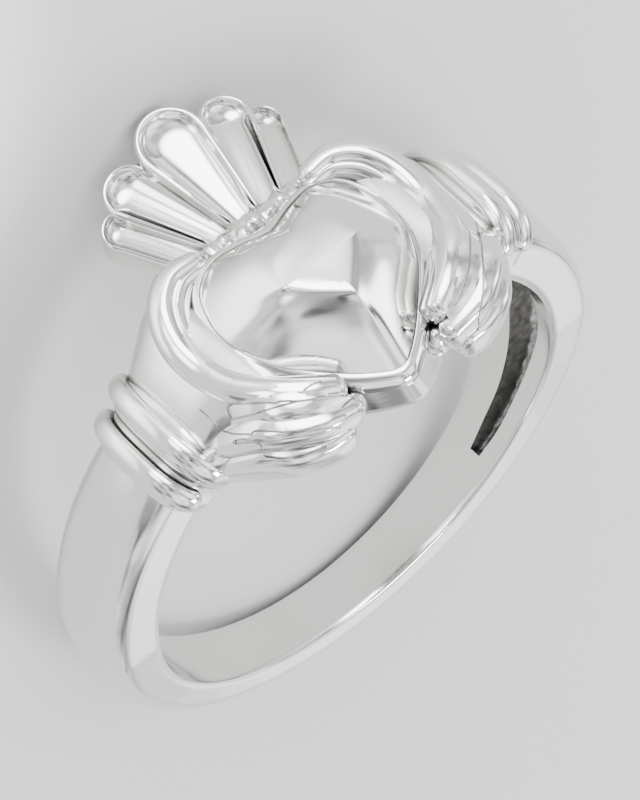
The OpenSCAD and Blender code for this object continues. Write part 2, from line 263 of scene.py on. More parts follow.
# [half width, share of the depth], from one lip of the hollow over its floor to the other
pocket_section = [(1, -1), (1, 0.2), (0.99, 0.5), (0.96, 0.75), (0.86, 0.92), (0.6, 1), (0.2, 1)]
pocket_section += [(-half, deep) for half, deep in reversed(pocket_section)]
# Width and depth of the mould's grain in metres, and the share of the pocket's depth where it begins
grain, grain_depth, grain_start = 0.00034, 0.00028, 0.4


# The same silver as it left the mould: grey, matt and pitted, because nothing polishes the pockets
def raw_casting():
    material = bpy.data.materials.new("silver as cast")
    material.use_nodes = True
    tree = material.node_tree
    shader = tree.nodes["Principled BSDF"]
    shader.inputs["Metallic"].default_value = 1
    place = add(tree, "ShaderNodeTexCoord").outputs["Object"]
    # Grains of the mould about 0.25 mm across
    grains = add(tree, "ShaderNodeTexVoronoi", {"Vector": place, "Scale": 1 / 0.00025})
    colour = add(tree, "ShaderNodeMix", {
        "Factor": grains.outputs["Distance"], "A": linear("#E0DFDC"), "B": linear("#8F8E8C")},
        data_type="RGBA")
    # Painted shade: deeper in the hollow, where it is occluded, the grain's colour darkens to dark
    # grey #646362
    hollow = add(tree, "ShaderNodeAmbientOcclusion", {"Distance": 0.0012}, samples=12)
    unshaded = add(tree, "ShaderNodeMapRange", {
        "Value": hollow.outputs["AO"], "From Min": 0.05, "From Max": 0.6},
        interpolation_type="SMOOTHSTEP")
    hollow_shade_colour = add(tree, "ShaderNodeMix", {
        "Factor": unshaded.outputs["Result"], "A": linear("#646362"), "B": colour.outputs["Result"]},
        data_type="RGBA")
    tree.links.new(hollow_shade_colour.outputs["Result"], shader.inputs["Base Color"])
    shader.inputs["Roughness"].default_value = 0.34
    # Pits about 0.1 mm across
    pits = add(tree, "ShaderNodeTexNoise", {"Vector": place, "Scale": 1 / 0.0001, "Detail": 3.0})
    relief = add(tree, "ShaderNodeBump", {"Height": pits.outputs[0], "Strength": 0.6,
                                          "Distance": 0.00005})
    tree.links.new(relief.outputs[0], shader.inputs["Normal"])
    return material


def mix(a, b, t):
    return a + (b - a) * t


def smooth_rows(rows, u):
    """A smooth curve through the rows of a table, at places u from 0 to its last row."""
    rows = np.asarray(rows, float)
    last = len(rows) - 1
    i = np.minimum(np.floor(u), last - 1).astype(int)
    t = (u - i)[:, None]
    a, b, c, d = (rows[np.clip(i + k, 0, last)] for k in (-1, 0, 1, 2))
    return b + t * ((c - a) + t * ((2 * a - 5 * b + 4 * c - d) + t * (3 * (b - c) + d - a))) / 2


def resample(rows, count):
    return smooth_rows(rows, np.linspace(0, len(rows) - 1, count))


def round_point(r, turn, y):
    """Points at radius r, turned by so many radians from the heart."""
    return np.stack(np.broadcast_arrays(r * np.sin(turn), y, r * np.cos(turn)), -1)


def skin(name, rings):
    """A closed form over rings of as many points each, shut at both ends."""
    rings = np.asarray(rings, float)
    count, around = rings.shape[:2]
    points = np.vstack([rings.reshape(-1, 3), rings[0].mean(0), rings[-1].mean(0)])
    first, last = len(points) - 2, len(points) - 1
    end = (count - 1) * around
    faces = []
    for i in range(0, end, around):
        for j in range(around):
            k = (j + 1) % around
            faces.append((i + j, i + k, i + around + k, i + around + j))
    for j in range(around):
        k = (j + 1) % around
        faces.append((k, j, first))
        faces.append((end + j, end + k, last))
    mesh = bpy.data.meshes.new(name)
    mesh.from_pydata(lay_down(points), [], faces)
    face_outwards(mesh)
    piece = bpy.data.objects.new(name, mesh)
    bpy.context.scene.collection.objects.link(piece)
    return piece


def pocket_rings(end):
    rings = []
    for way, width, depth in resample(pocket_rows, count=150):
        turn = mix(pocket_start, end, way)
        section = resample(pocket_section, count=53)
        half = pocket_w / 2 * width
        up = np.where(section[:, 1] > 0, section[:, 1] * pocket_depth * depth,
                      section[:, 1] * pocket_lap)
        rings.append(round_point(bore_r + up, math.radians(turn), section[:, 0] * half - pocket_off))
    return np.array(rings)


def mirrored(rings):
    return np.asarray(rings) * [-1, 1, 1]


def uneven_tree():
    """Makes a form uneven, out from and in towards the middle of the finger hole."""
    tree, given, out = new_tree("uneven surface", {
        "Grain": "NodeSocketFloat", "Depth": "NodeSocketFloat", "Centre": "NodeSocketVector",
        "Start": "NodeSocketFloat"})
    place = add(tree, "GeometryNodeInputPosition")
    off = add(tree, "ShaderNodeVectorMath", {0: place.outputs[0], 1: given.outputs["Centre"]},
              operation="SUBTRACT")
    scale = add(tree, "ShaderNodeMath", {0: 1.0, 1: given.outputs["Grain"]}, operation="DIVIDE")
    noise = add(tree, "ShaderNodeTexNoise", {"Vector": place.outputs[0], "Scale": scale.outputs[0],
                                             "Detail": 3.0, "Roughness": 0.6})
    both_ways = add(tree, "ShaderNodeMath", {0: noise.outputs[0], 1: 0.5}, operation="SUBTRACT")
    rise = add(tree, "ShaderNodeMath", {0: both_ways.outputs[0], 1: given.outputs["Depth"]},
               operation="MULTIPLY")
    direction = add(tree, "ShaderNodeVectorMath", {0: off.outputs[0]}, operation="NORMALIZE")
    push = add(tree, "ShaderNodeVectorMath", {0: direction.outputs[0], "Scale": rise.outputs[0]},
               operation="SCALE")
    length = add(tree, "ShaderNodeVectorMath", {0: off.outputs[0]}, operation="LENGTH")
    chosen = add(tree, "FunctionNodeCompare", {0: length.outputs["Value"], 1: given.outputs["Start"]},
                 operation="GREATER_THAN")
    moved = add(tree, "GeometryNodeSetPosition", {
        "Geometry": given.outputs["Geometry"], "Selection": chosen.outputs[0],
        "Offset": push.outputs[0]})
    end_tree(tree, given, out, moved.outputs[0])
    return tree


cast_silver = raw_casting()
rough_tree = uneven_tree()
pockets = []
for side, rings in (("right", pocket_rings(pocket_end)),
                    ("left", mirrored(pocket_rings(pocket_end_left)))):
    plain = skin("pocket_" + side, rings)
    pockets.append(grow("pocket_" + side + "_cutter", rough_tree, {
        "Grain": grain, "Depth": grain_depth, "Centre": (0, hole_y, hole_z),
        "Start": (bore_r + pocket_depth * grain_start) / 1000, "Metal": cast_silver}, plain.data))
    bpy.data.objects.remove(plain)


# Hands. On each side a hand comes out of its cuff and holds the heart: its back, the thumb and
# first finger in one roll round the heart, and the middle and ring fingers below. A bed, a palm, a
# web and a heel of metal fill the gaps between them, as in the wax that the ring was cast from.
heart_w, heart_l = 7.88, 7.51
heart_top = heart_l * 0.284
heart_tip = heart_top - heart_l
# Where the heart's middle lies, as a share of its length from its tip, and the height of its
# underside over the finger hole
mid_share, under_h = 0.55, 1.24
finger_d, hand_h, hand_l = 1.15, 3.5, 2.66
collar_w, collar_l, wrist_off = 1.39, 4.78, 0.41
# Centre of each finger: [x as a share of half the heart's width, y from the heart's tip as a share
# of its length, height over the hole as a share of the hand's, thickness as a share of a finger's]
finger_rows = {
    "cradle": [(0.62, 1.02, 0.94, 0.65), (0.85, 1.02, 1, 0.85), (1.06, 0.935, 1.03, 0.95),
               (1.17, 0.785, 0.99, 1), (1.16, 0.605, 0.94, 1), (1.08, 0.445, 0.93, 1.05),
               (0.92, 0.31, 0.92, 1.05), (0.72, 0.215, 0.87, 0.95), (0.56, 0.165, 0.8, 0.8)],
    "middle": [(1.42, 0.41, 0.68, 0.75), (1.2, 0.26, 0.87, 0.95), (1.03, 0.165, 0.86, 1),
               (0.8, 0.095, 0.77, 0.95), (0.55, 0.075, 0.66, 0.8)],
    "ring": [(1.4, 0.35, 0.58, 0.75), (1.18, 0.205, 0.66, 0.95), (1.01, 0.11, 0.62, 1),
             (0.8, 0.06, 0.55, 0.9), (0.66, 0.05, 0.51, 0.8)],
}
# Height of a finger's section as a share of its width, and how square the roll and the others are
finger_tall = 1.4
finger_power = {"cradle": 0.82, "middle": 0.62, "ring": 0.62}
# Where the first finger, the middle and the ring finger leave the wrist, as above
wrist_rows = [[(1.36, 0.62, 0.74, 1)], [(1.5, 0.46, 0.68, 0.75)], [(1.46, 0.4, 0.62, 0.75)]]
# How far the palm lies below the crest of each of them and of its own low edge, in millimetres
palm_sinks = (0.02, -0.02, -0.01, 0.16)
# From the ring finger to that edge: [share of the heart's length, share of the hand's height]
palm_edge = (0.05, 0.1)
# How far the bed lies from the heart's middle as a share of the roll's way, and how deep as a share
# of the roll's thickness
bed_share, bed_sink = 0.92, 0.45
# [x, y] of the web of skin between the fingertips, in millimetres, and its share of the hand's height
web_rows = [(2.5, -4.2), (2.1, -4.4), (1.7, -4.5)]
web_up = 0.46
# [x, y, height over the hole] of the heel of the hand, in millimetres
heel_rows = [(6.0, -2.3, 2.1), (5.7, -2.5, 2.15), (5.3, -2.62, 2.1)]
# [width, height] of the bed, the web and the heel, as shares of a finger's thickness
bed_size, web_size, heel_size = (0.9, 1.2), (0.75, 1.2), (0.9, 1.3)
# [share of the way to the wrist, share of a collar's length over its middle to the heart's tip, the
# same to the crown, share of the hand's height]
back_rows = [(0.46, 0.85, 0.56, 0.8), (0.58, 0.8, 0.68, 0.99), (0.73, 0.7, 0.66, 1.03),
             (0.88, 0.58, 0.57, 0.96), (1.04, 0.5, 0.49, 0.84)]
# How far the feet of a hand's back and of a cuff lie below the underside of the heart
foot_drop = 0.05


def on_round(xy, r):
    """Points at x and y on a round of radius r about the finger."""
    xy = np.asarray(xy, float)
    return np.column_stack([xy[:, 0], xy[:, 1], np.sqrt(np.maximum(r ** 2 - xy[:, 0] ** 2, 0))])


def squared(angle, power):
    """The two sides of a rounded square at an angle."""
    c, s = np.cos(angle), np.sin(angle)
    return np.sign(c) * np.abs(c) ** power, np.sign(s) * np.abs(s) ** power


def bar(centre, width, height, around=40, power=0.82, cap_steps=7):
    """Rings of a bar along a path over the finger, with round ends."""
    along = np.gradient(centre, axis=0)
    along /= np.linalg.norm(along, axis=1)[:, None]
    out = centre * [1, 0, 1]
    out /= np.linalg.norm(out, axis=1)[:, None]
    across = np.cross(out, along)
    across /= np.linalg.norm(across, axis=1)[:, None]
    up = np.cross(along, across)
    a, b = squared(np.linspace(0, math.tau, around, endpoint=False), power)

    def ring(i, shift, size):
        middle = centre[i] + along[i] * shift
        return (middle + size * (across[i] * a[:, None] * width[i] / 2
                                 + up[i] * b[:, None] * height[i] / 2))

    # The last ring of a cap stops short of its pole, so that it keeps a width
    turns = np.linspace(0, math.pi / 2, cap_steps + 1)[1:]
    turns[-1] = math.pi / 2 * 0.97
    start = [ring(0, -math.sin(t) * width[0] / 2, math.cos(t)) for t in reversed(turns)]
    end = [ring(-1, math.sin(t) * width[-1] / 2, math.cos(t)) for t in turns]
    return np.array(start + [ring(i, 0, 1) for i in range(len(centre))] + end)


def even_bar(path, size):
    """Rings of a round bar of one width and height, as shares of a finger's thickness."""
    width, height = (np.full(len(path), finger_d * share) for share in size)
    return bar(path, width, height, power=1)


def finger_path(rows, count, sink):
    """Points along a finger, so far below its crest."""
    x, y, high, thick = resample(rows, count).T
    return on_round(np.column_stack([x * heart_w / 2, heart_tip + y * heart_l]),
                    bore_r + high * hand_h + thick * finger_d * 0.5 - sink)


def finger_rings(finger):
    rows = finger_rows[finger]
    count = 14 * len(rows)
    width = resample(rows, count)[:, 3] * finger_d
    path = finger_path(rows, count, width * finger_tall / 2)
    return bar(path, width, width * finger_tall, power=finger_power[finger])


def bed_rings():
    """What lies under the roll and closes it against the heart."""
    x, y, high, thick = resample(finger_rows["cradle"], count=90).T
    width = thick * finger_d
    x, y = mix(0, x, bed_share), mix(mid_share, y, bed_share)
    path = on_round(np.column_stack([x * heart_w / 2, heart_tip + y * heart_l]),
                    bore_r + high * hand_h - width * bed_sink)
    return bar(path, width * bed_size[0], width * bed_size[1], power=1)


def palm_rings():
    """The palm runs from the wrist under the fingers, about as high as their crests."""
    rows = [wrist_rows[0] + finger_rows["cradle"][4:], wrist_rows[1] + finger_rows["middle"],
            wrist_rows[2] + finger_rows["ring"]]
    rows.append([(x, y - palm_edge[0], high - palm_edge[1], thick) for x, y, high, thick in rows[2]])
    tops = np.array([finger_path(row, count=60, sink=sink) for row, sink in zip(rows, palm_sinks)])
    rings = []
    for section in tops.transpose(1, 0, 2):
        feet = on_round(section[[3, 0], :2], bore_r + under_h)
        rings.append(np.vstack([resample(section, count=31), feet]))
    return np.array(rings)


def turned(length):
    """Angle round the finger that a length takes up at the height of a hand."""
    return length / (bore_r + hand_h)


wrist = turned(heart_w / 2 + hand_l)


def arch(turn, low, high, crest, points=64, power=0.65):
    """Points of an arch across the band, from its crown side over its crest to the other."""
    foot = bore_r + under_h - foot_drop
    a, b = squared(np.linspace(0, math.pi, points + 1), power)
    return round_point(foot + (crest - foot) * b, turn, mix(high, low, (1 - a) / 2))


def back_rings():
    """The back of a hand swells behind the fingers and narrows to the wrist."""
    return [arch(wrist * way, -wrist_off - collar_l * low, -wrist_off + collar_l * high,
                 bore_r + hand_h * tall, power=0.52)
            for way, low, high, tall in resample(back_rows, count=44)]


def web_rings():
    """The skin between the tips of the first finger and the middle one, low beside the heart."""
    return even_bar(on_round(resample(web_rows, count=12), bore_r + hand_h * web_up), web_size)


def heel_rings():
    """The heel of the hand, which fills the corner between the fingers and the cuff."""
    x, y, high = resample(heel_rows, count=16).T
    return even_bar(on_round(np.column_stack([x, y]), bore_r + high), heel_size)


hand_parts = {"hand_back": back_rings(), "bed": bed_rings(), "palm": palm_rings(),
              "web": web_rings(), "heel": heel_rings()}
for finger in finger_rows:
    hand_parts[finger + "_finger"] = finger_rings(finger)
both_sides = (("right", np.array), ("left", mirrored))
forms = []
for side, turn_over in both_sides:
    for part, rings in hand_parts.items():
        forms.append(skin(part + "_" + side, turn_over(rings)))


# Cuffs. Two rounded collars lie side by side round each wrist, the outer one a little smaller, and
# a raised bead with round ends runs over each. They are cast with the hands.
# [share of a collar's length, crest as a share of the hand's height]
collar_rows = [(1, 0.9), (0.9, 0.82)]
# Width of a collar as a share of the way to the next, and how far its edges drop away
collar_share, collar_round = 1.1, 0.3
# Width of a bead as a share of a collar's, and its height as a share of its width
bead_share, bead_tall = 0.56, 0.95
# Points along the arch that a bead follows, and how many are left out at either foot
bead_points, bead_feet = 90, 12


def collar_rings(turn, length, crest):
    """Arches side by side across the band, lower and shorter towards both edges of the collar."""
    rings = []
    for s in np.sin(np.linspace(-math.pi / 2, math.pi / 2, 15)):
        drop = collar_round * (1 - math.sqrt(max(1 - s * s, 0)))
        rings.append(arch(turn + turned(collar_w * collar_share) / 2 * s,
                          drop - length / 2 - wrist_off, length / 2 - wrist_off - drop, crest - drop))
    return rings


for side, turn_over in both_sides:
    for k, (long, tall) in enumerate(collar_rows):
        turn = wrist + turned(collar_w) * (k + 0.5)
        length, crest = collar_l * long, bore_r + hand_h * tall
        forms.append(skin(f"collar_{k + 1}_{side}", turn_over(collar_rings(turn, length, crest))))
        over = arch(turn, -length / 2 - wrist_off, length / 2 - wrist_off, crest, bead_points)
        over = over[bead_feet:-bead_feet]
        thick = np.full(len(over), collar_w * bead_share)
        forms.append(skin(f"bead_{k + 1}_{side}", turn_over(bar(over, thick, thick * bead_tall))))


# Heart. A flat table in the middle, four swelling facets that meet in soft ridges, a narrow rounded
# edge all round and a side that flares out below it. The facets were filed and polished by hand.
table_h, edge_h, tip_h = 4.5, 3.4, 2.45
heart_flare = 0.45
edge_round, edge_drop = 0.42, 0.5
ridge_swell, facet_swell, table_swell = 0.08, 0.16, 0.1
line_w, line_deep = 0.07, 0.045
# Half of the outline from the cleft to the tip, as shares of half its width and of its length
heart_half = [(0, 0.95), (0.12, 0.962), (0.36, 0.993), (0.62, 1), (0.86, 0.925), (1, 0.745),
              (1, 0.57), (0.88, 0.405), (0.67, 0.265), (0.385, 0.12), (0.12, 0.02), (0, 0)]
# Row of the outline where the ridge across each lobe meets the edge
ridge_row = 5
# Share of the length, from the tip, over which the edge climbs to its full height
edge_climb = 0.62
# Middle of the heart, and the corners of its table. Between them the table bows out by a share of
# the heart's width
heart_mid = np.array([0, heart_tip + heart_l * mid_share])
table_top = heart_tip + heart_l * 0.737
table_side = np.array([heart_w * 0.19, heart_tip + heart_l * 0.549])
table_low = heart_tip + heart_l * 0.323
table_bow = 0.035
# [share of the flare, height over the underside] up the foot of the side
flare_rows = [(0.5, 0.03), (0.85, 0.12), (1, 0.28), (0.97, 0.45)]
# Size of each ring on the underside, as a share of the outline's, and how far each ring on the
# table lies towards its middle
under_sizes = (0.3, 0.6, 0.9, 1)
table_shares = (0.1, 0.2, 0.35, 0.5, 0.7, 0.9)

places = np.concatenate([np.linspace(0, ridge_row, 46),
                         np.linspace(ridge_row, len(heart_half) - 1, 52)[1:]])
half_edge = smooth_rows(heart_half, places) * [heart_w / 2, heart_l] + [0, heart_tip]
# Share of the way from one ridge to the next
above_ridge = places <= ridge_row
ridge_way = np.where(above_ridge, places / ridge_row,
                     (places - ridge_row) / (len(heart_half) - 1 - ridge_row))


def half_table():
    t = ridge_way
    bow = heart_w * table_bow * np.sin(math.pi * t) * above_ridge
    x = np.where(above_ridge, table_side[0] * t, table_side[0] * (1 - t)) + bow
    y = np.where(above_ridge, mix(table_top, table_side[1], t), mix(table_side[1], table_low, t)) + bow
    return np.column_stack([x, y])


def both_halves(half, flip=(-1, 1)):
    return np.concatenate([half * flip, half[-2:0:-1]])


def ease(t):
    t = np.clip(t, 0, 1)
    return t * t * (3 - 2 * t)


outline = both_halves(half_edge)
table = both_halves(half_table())
inwards = heart_mid - outline
inwards /= np.linalg.norm(inwards, axis=1)[:, None]
edge_r = bore_r + mix(tip_h, edge_h, ease((outline[:, 1] - heart_tip) / (heart_l * edge_climb)))


def blur_round(values, reach):
    """Evens out rings of points along the ring, to round the ridges that cross it."""
    steps = np.arange(-3 * reach, 3 * reach + 1)
    weights = np.exp(-0.5 * (steps / reach) ** 2)
    weights /= weights.sum()
    return sum(w * np.roll(values, s, axis=0) for s, w in zip(steps, weights))


def heart_rings():
    rings = [on_round(mix(heart_mid, outline, size), bore_r + under_h) for size in under_sizes]
    for out, up in flare_rows:
        rings.append(on_round(outline - inwards * heart_flare * out, bore_r + under_h + up))
    foot = rings[-1]
    lip = on_round(outline, edge_r - edge_drop)
    rings += [mix(foot, lip, t) for t in (0.25, 0.5, 0.75, 1)]
    for angle in np.linspace(0, math.pi / 2, 8)[1:]:
        rings.append(on_round(outline + inwards * edge_round * (1 - math.cos(angle)),
                              edge_r - edge_drop * (1 - math.sin(angle))))
    # A fine line is cut all round, where the facets begin
    rings.append(on_round(outline + inwards * (edge_round + line_w / 2), edge_r - line_deep))
    rim = on_round(outline + inwards * (edge_round + line_w), edge_r)
    rings.append(rim)
    flat = np.column_stack([table, np.full(len(table), bore_r + table_h)])
    swell = ridge_swell + facet_swell * np.sin(math.pi * both_halves(ridge_way, 1))
    facets = []
    for t in np.linspace(0, 1, 41)[1:]:
        lift = np.zeros_like(rim)
        lift[:, 2] = swell * math.sin(math.pi * t)
        facets.append(mix(rim, flat, t) + lift)
    centre = flat.mean(0)
    for t in table_shares:
        facets.append(mix(flat, centre, t) + [0, 0, table_swell * (1 - (1 - t) ** 2)])
    facets = [blur_round(ring, reach=1) for ring in facets]
    # The rings are evened out across too, with one that runs on past the rim
    stack = np.array([mix(rim, facets[0], -1), rim] + facets)
    for _ in range(3):
        stack[2:-1] = (stack[1:-2] + 2 * stack[2:-1] + stack[3:]) / 4
    return rings + list(stack[2:])


forms.append(skin("heart", heart_rings()))


# Crown. Five lobes with round ends spread from the roll at the crown's foot. Each has a raised rim
# and a deep flute inside it, and the outer ones lie lower than the middle one.
crown_l, crown_w, lobe_d = 4.85, 7.7, 2.55
crown_wall, flute_depth = 0.86, 0.42
crown_h, crown_flare, roll_d = 2.79, 0.95, 0.76
crown_base = heart_top + roll_d * 0.5
# Radius of the round foot of a lobe
lobe_foot = crown_w * 0.083
# [x of its foot and of the centre of its round end as shares of the crown's width, y of that centre
# as a share of its length, share of the middle lobe's diameter, share of the rise]
lobe_rows = [(0, 0, 0.735, 0.5, 1), (0.13, 0.265, 0.695, 0.37, 0.5), (0.265, 0.39, 0.56, 0.28, 0.15)]
# [inset from the outline as a share of the lobe's radius, height over the underside]: the underside
# and the rounding at its edge
low_rows = [(0.9, 0), (0.6, 0), (0.3, 0), (0.06, 0), (0.02, 0.03), (0, 0.1)]
# [inset as above, depth below its surface]: the rounded rim, its inner wall, then the flute
rim_rows = [(0, 0.2), (0.005, 0.13), (0.025, 0.06), (0.06, 0.015), (0.1, 0), (0.15, 0.01),
            (0.19, 0.05), (0.22, 0.12), (0.25, 0.2), (0.3, 0.25), (0.4, 0.31), (0.55, 0.37),
            (0.72, 0.41), (0.88, flute_depth), (0.96, flute_depth)]


def lobe_outline(row, inset):
    """Outline of a lobe at an inset share: round its end, down one side, round its foot and up."""
    foot = np.array([row[0] * crown_w, crown_base + roll_d * 0.4])
    end = np.array([row[1] * crown_w, crown_base + row[2] * crown_l])
    along = (end - foot) / np.linalg.norm(end - foot)
    side = np.array([along[1], -along[0]])
    # The end is a little more than half a circle, so that the sides narrow towards the foot
    wrap = math.radians(101.5)

    def arc(middle, r, angles):
        return middle + r * (np.cos(angles)[:, None] * along + np.sin(angles)[:, None] * side)

    tip = arc(end, row[3] * lobe_d * (1 - inset), np.linspace(-wrap, wrap, 45))
    low = arc(foot, lobe_foot * (1 - inset), np.linspace(wrap, math.tau - wrap, 9))
    t = np.linspace(0, 1, 24)[1:-1, None]
    return np.vstack([tip, mix(tip[-1], low[0], t), low, mix(low[-1], tip[0], t)])


def lobe_rings(row):
    levels = [(inset, crown_wall - up) for inset, up in low_rows]
    levels += [(0, mix(levels[-1][1], rim_rows[0][1], t)) for t in (0.33, 0.66)]
    rings = []
    for inset, depth in levels + rim_rows:
        xy = lobe_outline(row, inset)
        rise = row[4] * crown_flare * (xy[:, 1] - crown_base) / crown_l
        rings.append(on_round(xy, bore_r + crown_h + rise - depth))
    return rings


for k, row in enumerate(lobe_rows):
    forms.append(skin(f"lobe_{k}_right", lobe_rings(row)))
    if row[0] > 0:
        forms.append(skin(f"lobe_{k}_left", mirrored(lobe_rings(row))))


# Base roll. A roll of uneven beads lies between the crown and the heart, over both of their edges. It
# was carved in the wax by hand, so no two of its lumps are alike.
# Width and depth of its lumps, in metres
lump, lump_h = 0.00055, 0.0005
# Half its length as a share of the crown's width, and its width and height as shares of its diameter
roll_half, roll_wide, roll_tall = 0.33, 1.4, 1.2
# How many beads it has, how far they swell, and how far and how fast that wanders
beads, bead_swell, wander, wander_pace = 9, 0.08, 0.03, 17
# How far it lies below the tops of the heart's lobes, as a share of its diameter
roll_below = 0.05


def base_roll_rings():
    t = np.linspace(-1, 1, 150)
    swell = 1 + bead_swell * np.cos(t * math.pi * beads) + wander * np.sin(t * wander_pace)
    y = np.full(len(t), heart_top - roll_d * roll_below)
    path = on_round(np.column_stack([t * (crown_w * roll_half), y]), bore_r + crown_h)
    return bar(path, roll_d * roll_wide * swell, roll_d * roll_tall * swell, power=1)


plain_roll = skin("plain_roll", base_roll_rings())
forms.append(grow("base_roll", rough_tree, {
    "Grain": lump, "Depth": lump_h, "Centre": (0, hole_y, hole_z), "Start": 0.0, "Metal": silver},
    plain_roll.data))
bpy.data.objects.remove(plain_roll)


# One casting. All of these forms are one piece of metal, so they are joined to the shank. The ring is
# cast in one pour, and its shoulders are hollow from the mould.
def join(body, tool, operation):
    modifier = body.modifiers.new("join", "BOOLEAN")
    modifier.object = tool
    modifier.operation = operation
    modifier.solver = "MANIFOLD"
    ready = body.evaluated_get(bpy.context.evaluated_depsgraph_get())
    mesh = bpy.data.meshes.new_from_object(ready)
    body.modifiers.clear()
    body.data = mesh
    bpy.data.objects.remove(tool)


ring = shank
ring.name = "claddagh_ring"
for form in forms:
    join(ring, form, "UNION")


# Engraved lines. After casting, fine lines are cut in the hands with a graver: between the fingers
# and round the nails. Each follows the surface that lies below it, as seen from above the heart.
engraved_w, engraved_deep = 0.075, 0.05
# Height over the finger hole that is clear of all of the ring
clear_h = 9
# x from the middle of the heart and y, in millimetres
right_lines = [
    [(4.98, -2.14), (4.78, -2.78), (3.84, -3.86), (3.01, -4.4), (2.54, -4.59)],
    [(5.51, -2.22), (4.6, -3.58), (3.58, -4.77), (2.84, -5.29)]]
left_lines = [
    [(-5.09, -2.57), (-5.02, -2.33), (-4.86, -2.32), (-4.54, -2.88), (-4.04, -3.52),
     (-3.89, -3.61), (-3.43, -4.02), (-2.85, -4.38)],
    [(-5.09, -2.57), (-4.53, -3.34), (-3.46, -4.02), (-2.61, -4.48), (-2.14, -4.64)],
    [(-5.51, -1.51), (-5.46, -2.15), (-5.39, -2.92), (-5.13, -3.54), (-4.96, -3.64),
     (-4.27, -4.49), (-3.42, -4.94), (-2.57, -5.13)],
    [(-5.5, -3.31), (-4.87, -4.18), (-3.85, -4.93), (-2.91, -5.25)],
    [(-5.5, -3.31), (-5.54, -3.15), (-5.35, -3.4), (-5.1, -3.97), (-4.67, -4.59),
     (-4.15, -4.96), (-3.53, -5.2)],
    [(-3.09, -3.86), (-2.79, -3.89), (-2.52, -3.96)],
    [(-2.46, -4.88), (-2.2, -4.82), (-1.97, -4.78)]]


def stand_up(points):
    """Places on the ring as it lies, in metres, to millimetres on the upright ring."""
    x, y, z = (np.asarray(points, float).reshape(-1, 3) - [0, hole_y, hole_z]).T * 1000
    return np.column_stack([-x, -y * lean_sin - z * lean_cos, -y * lean_cos + z * lean_sin])


def engrave(rows, surface):
    """A thin bar that lies along a line on the surface of the ring."""
    xy = resample(rows, count=12 * len(rows))
    high, low = on_round(xy, bore_r + clear_h), on_round(xy, bore_r)
    points = []
    for start, aim in zip(lay_down(high), lay_down(low)):
        spot = surface.ray_cast(Vector(start), Vector(aim - start).normalized())[0]
        if spot is not None:
            points.append(spot)
    path = stand_up(points)
    deep = np.full(len(path), 2 * engraved_deep)
    return bar(path, np.full(len(path), engraved_w), deep, around=8, power=1, cap_steps=2)


surface = BVHTree.FromObject(ring, bpy.context.evaluated_depsgraph_get())
for k, rows in enumerate(right_lines + left_lines):
    join(ring, skin(f"line_{k}", engrave(rows, surface)), "DIFFERENCE")


# Finish. The pockets are opened from inside the ring. The rest is smooth, with crisp edges where
# its faces meet sharply, and all of it is polished and plated except the insides of the pockets.
for pocket in pockets:
    join(ring, pocket, "DIFFERENCE")
for polygon in ring.data.polygons:
    polygon.use_smooth = True
ring.data.set_sharp_from_angle(angle=math.radians(32))

ring.data.materials.clear()
ring.data.materials.append(silver)
ring.data.materials.append(cast_silver)
# A pocket's faces lie so far over the bore or more, and no more than so far past its floor, so many
# degrees past its ends and such a share of its width to either side of its middle
over_bore, past_floor, past_end, side_share = 0.04, 0.2, 4, 0.55
middles = np.empty(len(ring.data.polygons) * 3)
ring.data.polygons.foreach_get("center", middles)
x, y, z = stand_up(middles).T
high, turn = np.hypot(x, z) - bore_r, np.degrees(np.arctan2(np.abs(x), z))
in_pocket = ((high > over_bore) & (high < pocket_depth + past_floor)
             & (np.abs(y + pocket_off) < pocket_w * side_share)
             & (turn > pocket_start - past_end) & (turn < pocket_end + past_end))
ring.data.polygons.foreach_set("material_index", in_pocket.astype(np.int32))
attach(ring, "root")
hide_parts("ring")


# Studio: a pale floor, soft light all round and the camera at the photograph's angle to the ring.
# Pools of light are painted on the floor round the ring as a glow of the paper, with no lamp, and the
# metal mirrors them.
# [metres across and along the floor from the middle, where a pool begins to fade and where it ends,
# brightness]
painted_pools = [(0.0165, -0.0235, 0.003, 0.019, 3.0), (0.003, -0.036, 0.002, 0.018, 2.6),
         (-0.022, -0.07, 0.01, 0.06, 2.6), (-0.035, -0.17, 0.02, 0.15, 1.6)]


# Matt paper with painted pools of light: the paper glows by itself where a pool lies, with no lamp
# there.
# The pools are part of the paper, because lamps this small and this near would not show in the metal.
def painted_pool_paper():
    material = bpy.data.materials.new("pale paper")
    material.use_nodes = True
    tree = material.node_tree
    shader = tree.nodes["Principled BSDF"]
    shader.inputs["Base Color"].default_value = linear("#CDCDCB")
    shader.inputs["Roughness"].default_value = 0.9
    place = add(tree, "ShaderNodeTexCoord").outputs["Object"]
    glow = 0.0
    # Each painted pool of light glows brightest at its middle and fades out towards its edge
    for x, y, full, fade, power in painted_pools:
        away = add(tree, "ShaderNodeVectorMath", {0: place, 1: (x, y, 0)}, operation="DISTANCE")
        pool = add(tree, "ShaderNodeMapRange", {
            "Value": away.outputs["Value"], "From Min": full, "From Max": fade,
            "To Min": power, "To Max": 0.0}, interpolation_type="SMOOTHERSTEP")
        brighter = add(tree, "ShaderNodeMath", {0: glow, 1: pool.outputs["Result"]},
                       operation="MAXIMUM")
        glow = brighter.outputs[0]
    shader.inputs["Emission Color"].default_value = linear("#FFFFFF")
    tree.links.new(glow, shader.inputs["Emission Strength"])
    material.cycles.emission_sampling = "NONE"
    return material


floor_size = 1.2
bpy.ops.mesh.primitive_plane_add(size=floor_size)
floor = bpy.context.object
floor.name = "floor"
floor.data.materials.append(painted_pool_paper())

# Panels of the light tent: [degrees round from the front, degrees up, where the panel begins to fade
# and where it ends, in degrees from its middle, brightness over the tent's own]
panels = [(350, 8, 8, 26, 11), (30, 8, 4, 16, 6), (268, 24, 4, 14, 6), (110, 55, 10, 30, 1.6),
          (300, 60, 8, 30, 2.2), (200, 30, 10, 34, 1.2)]
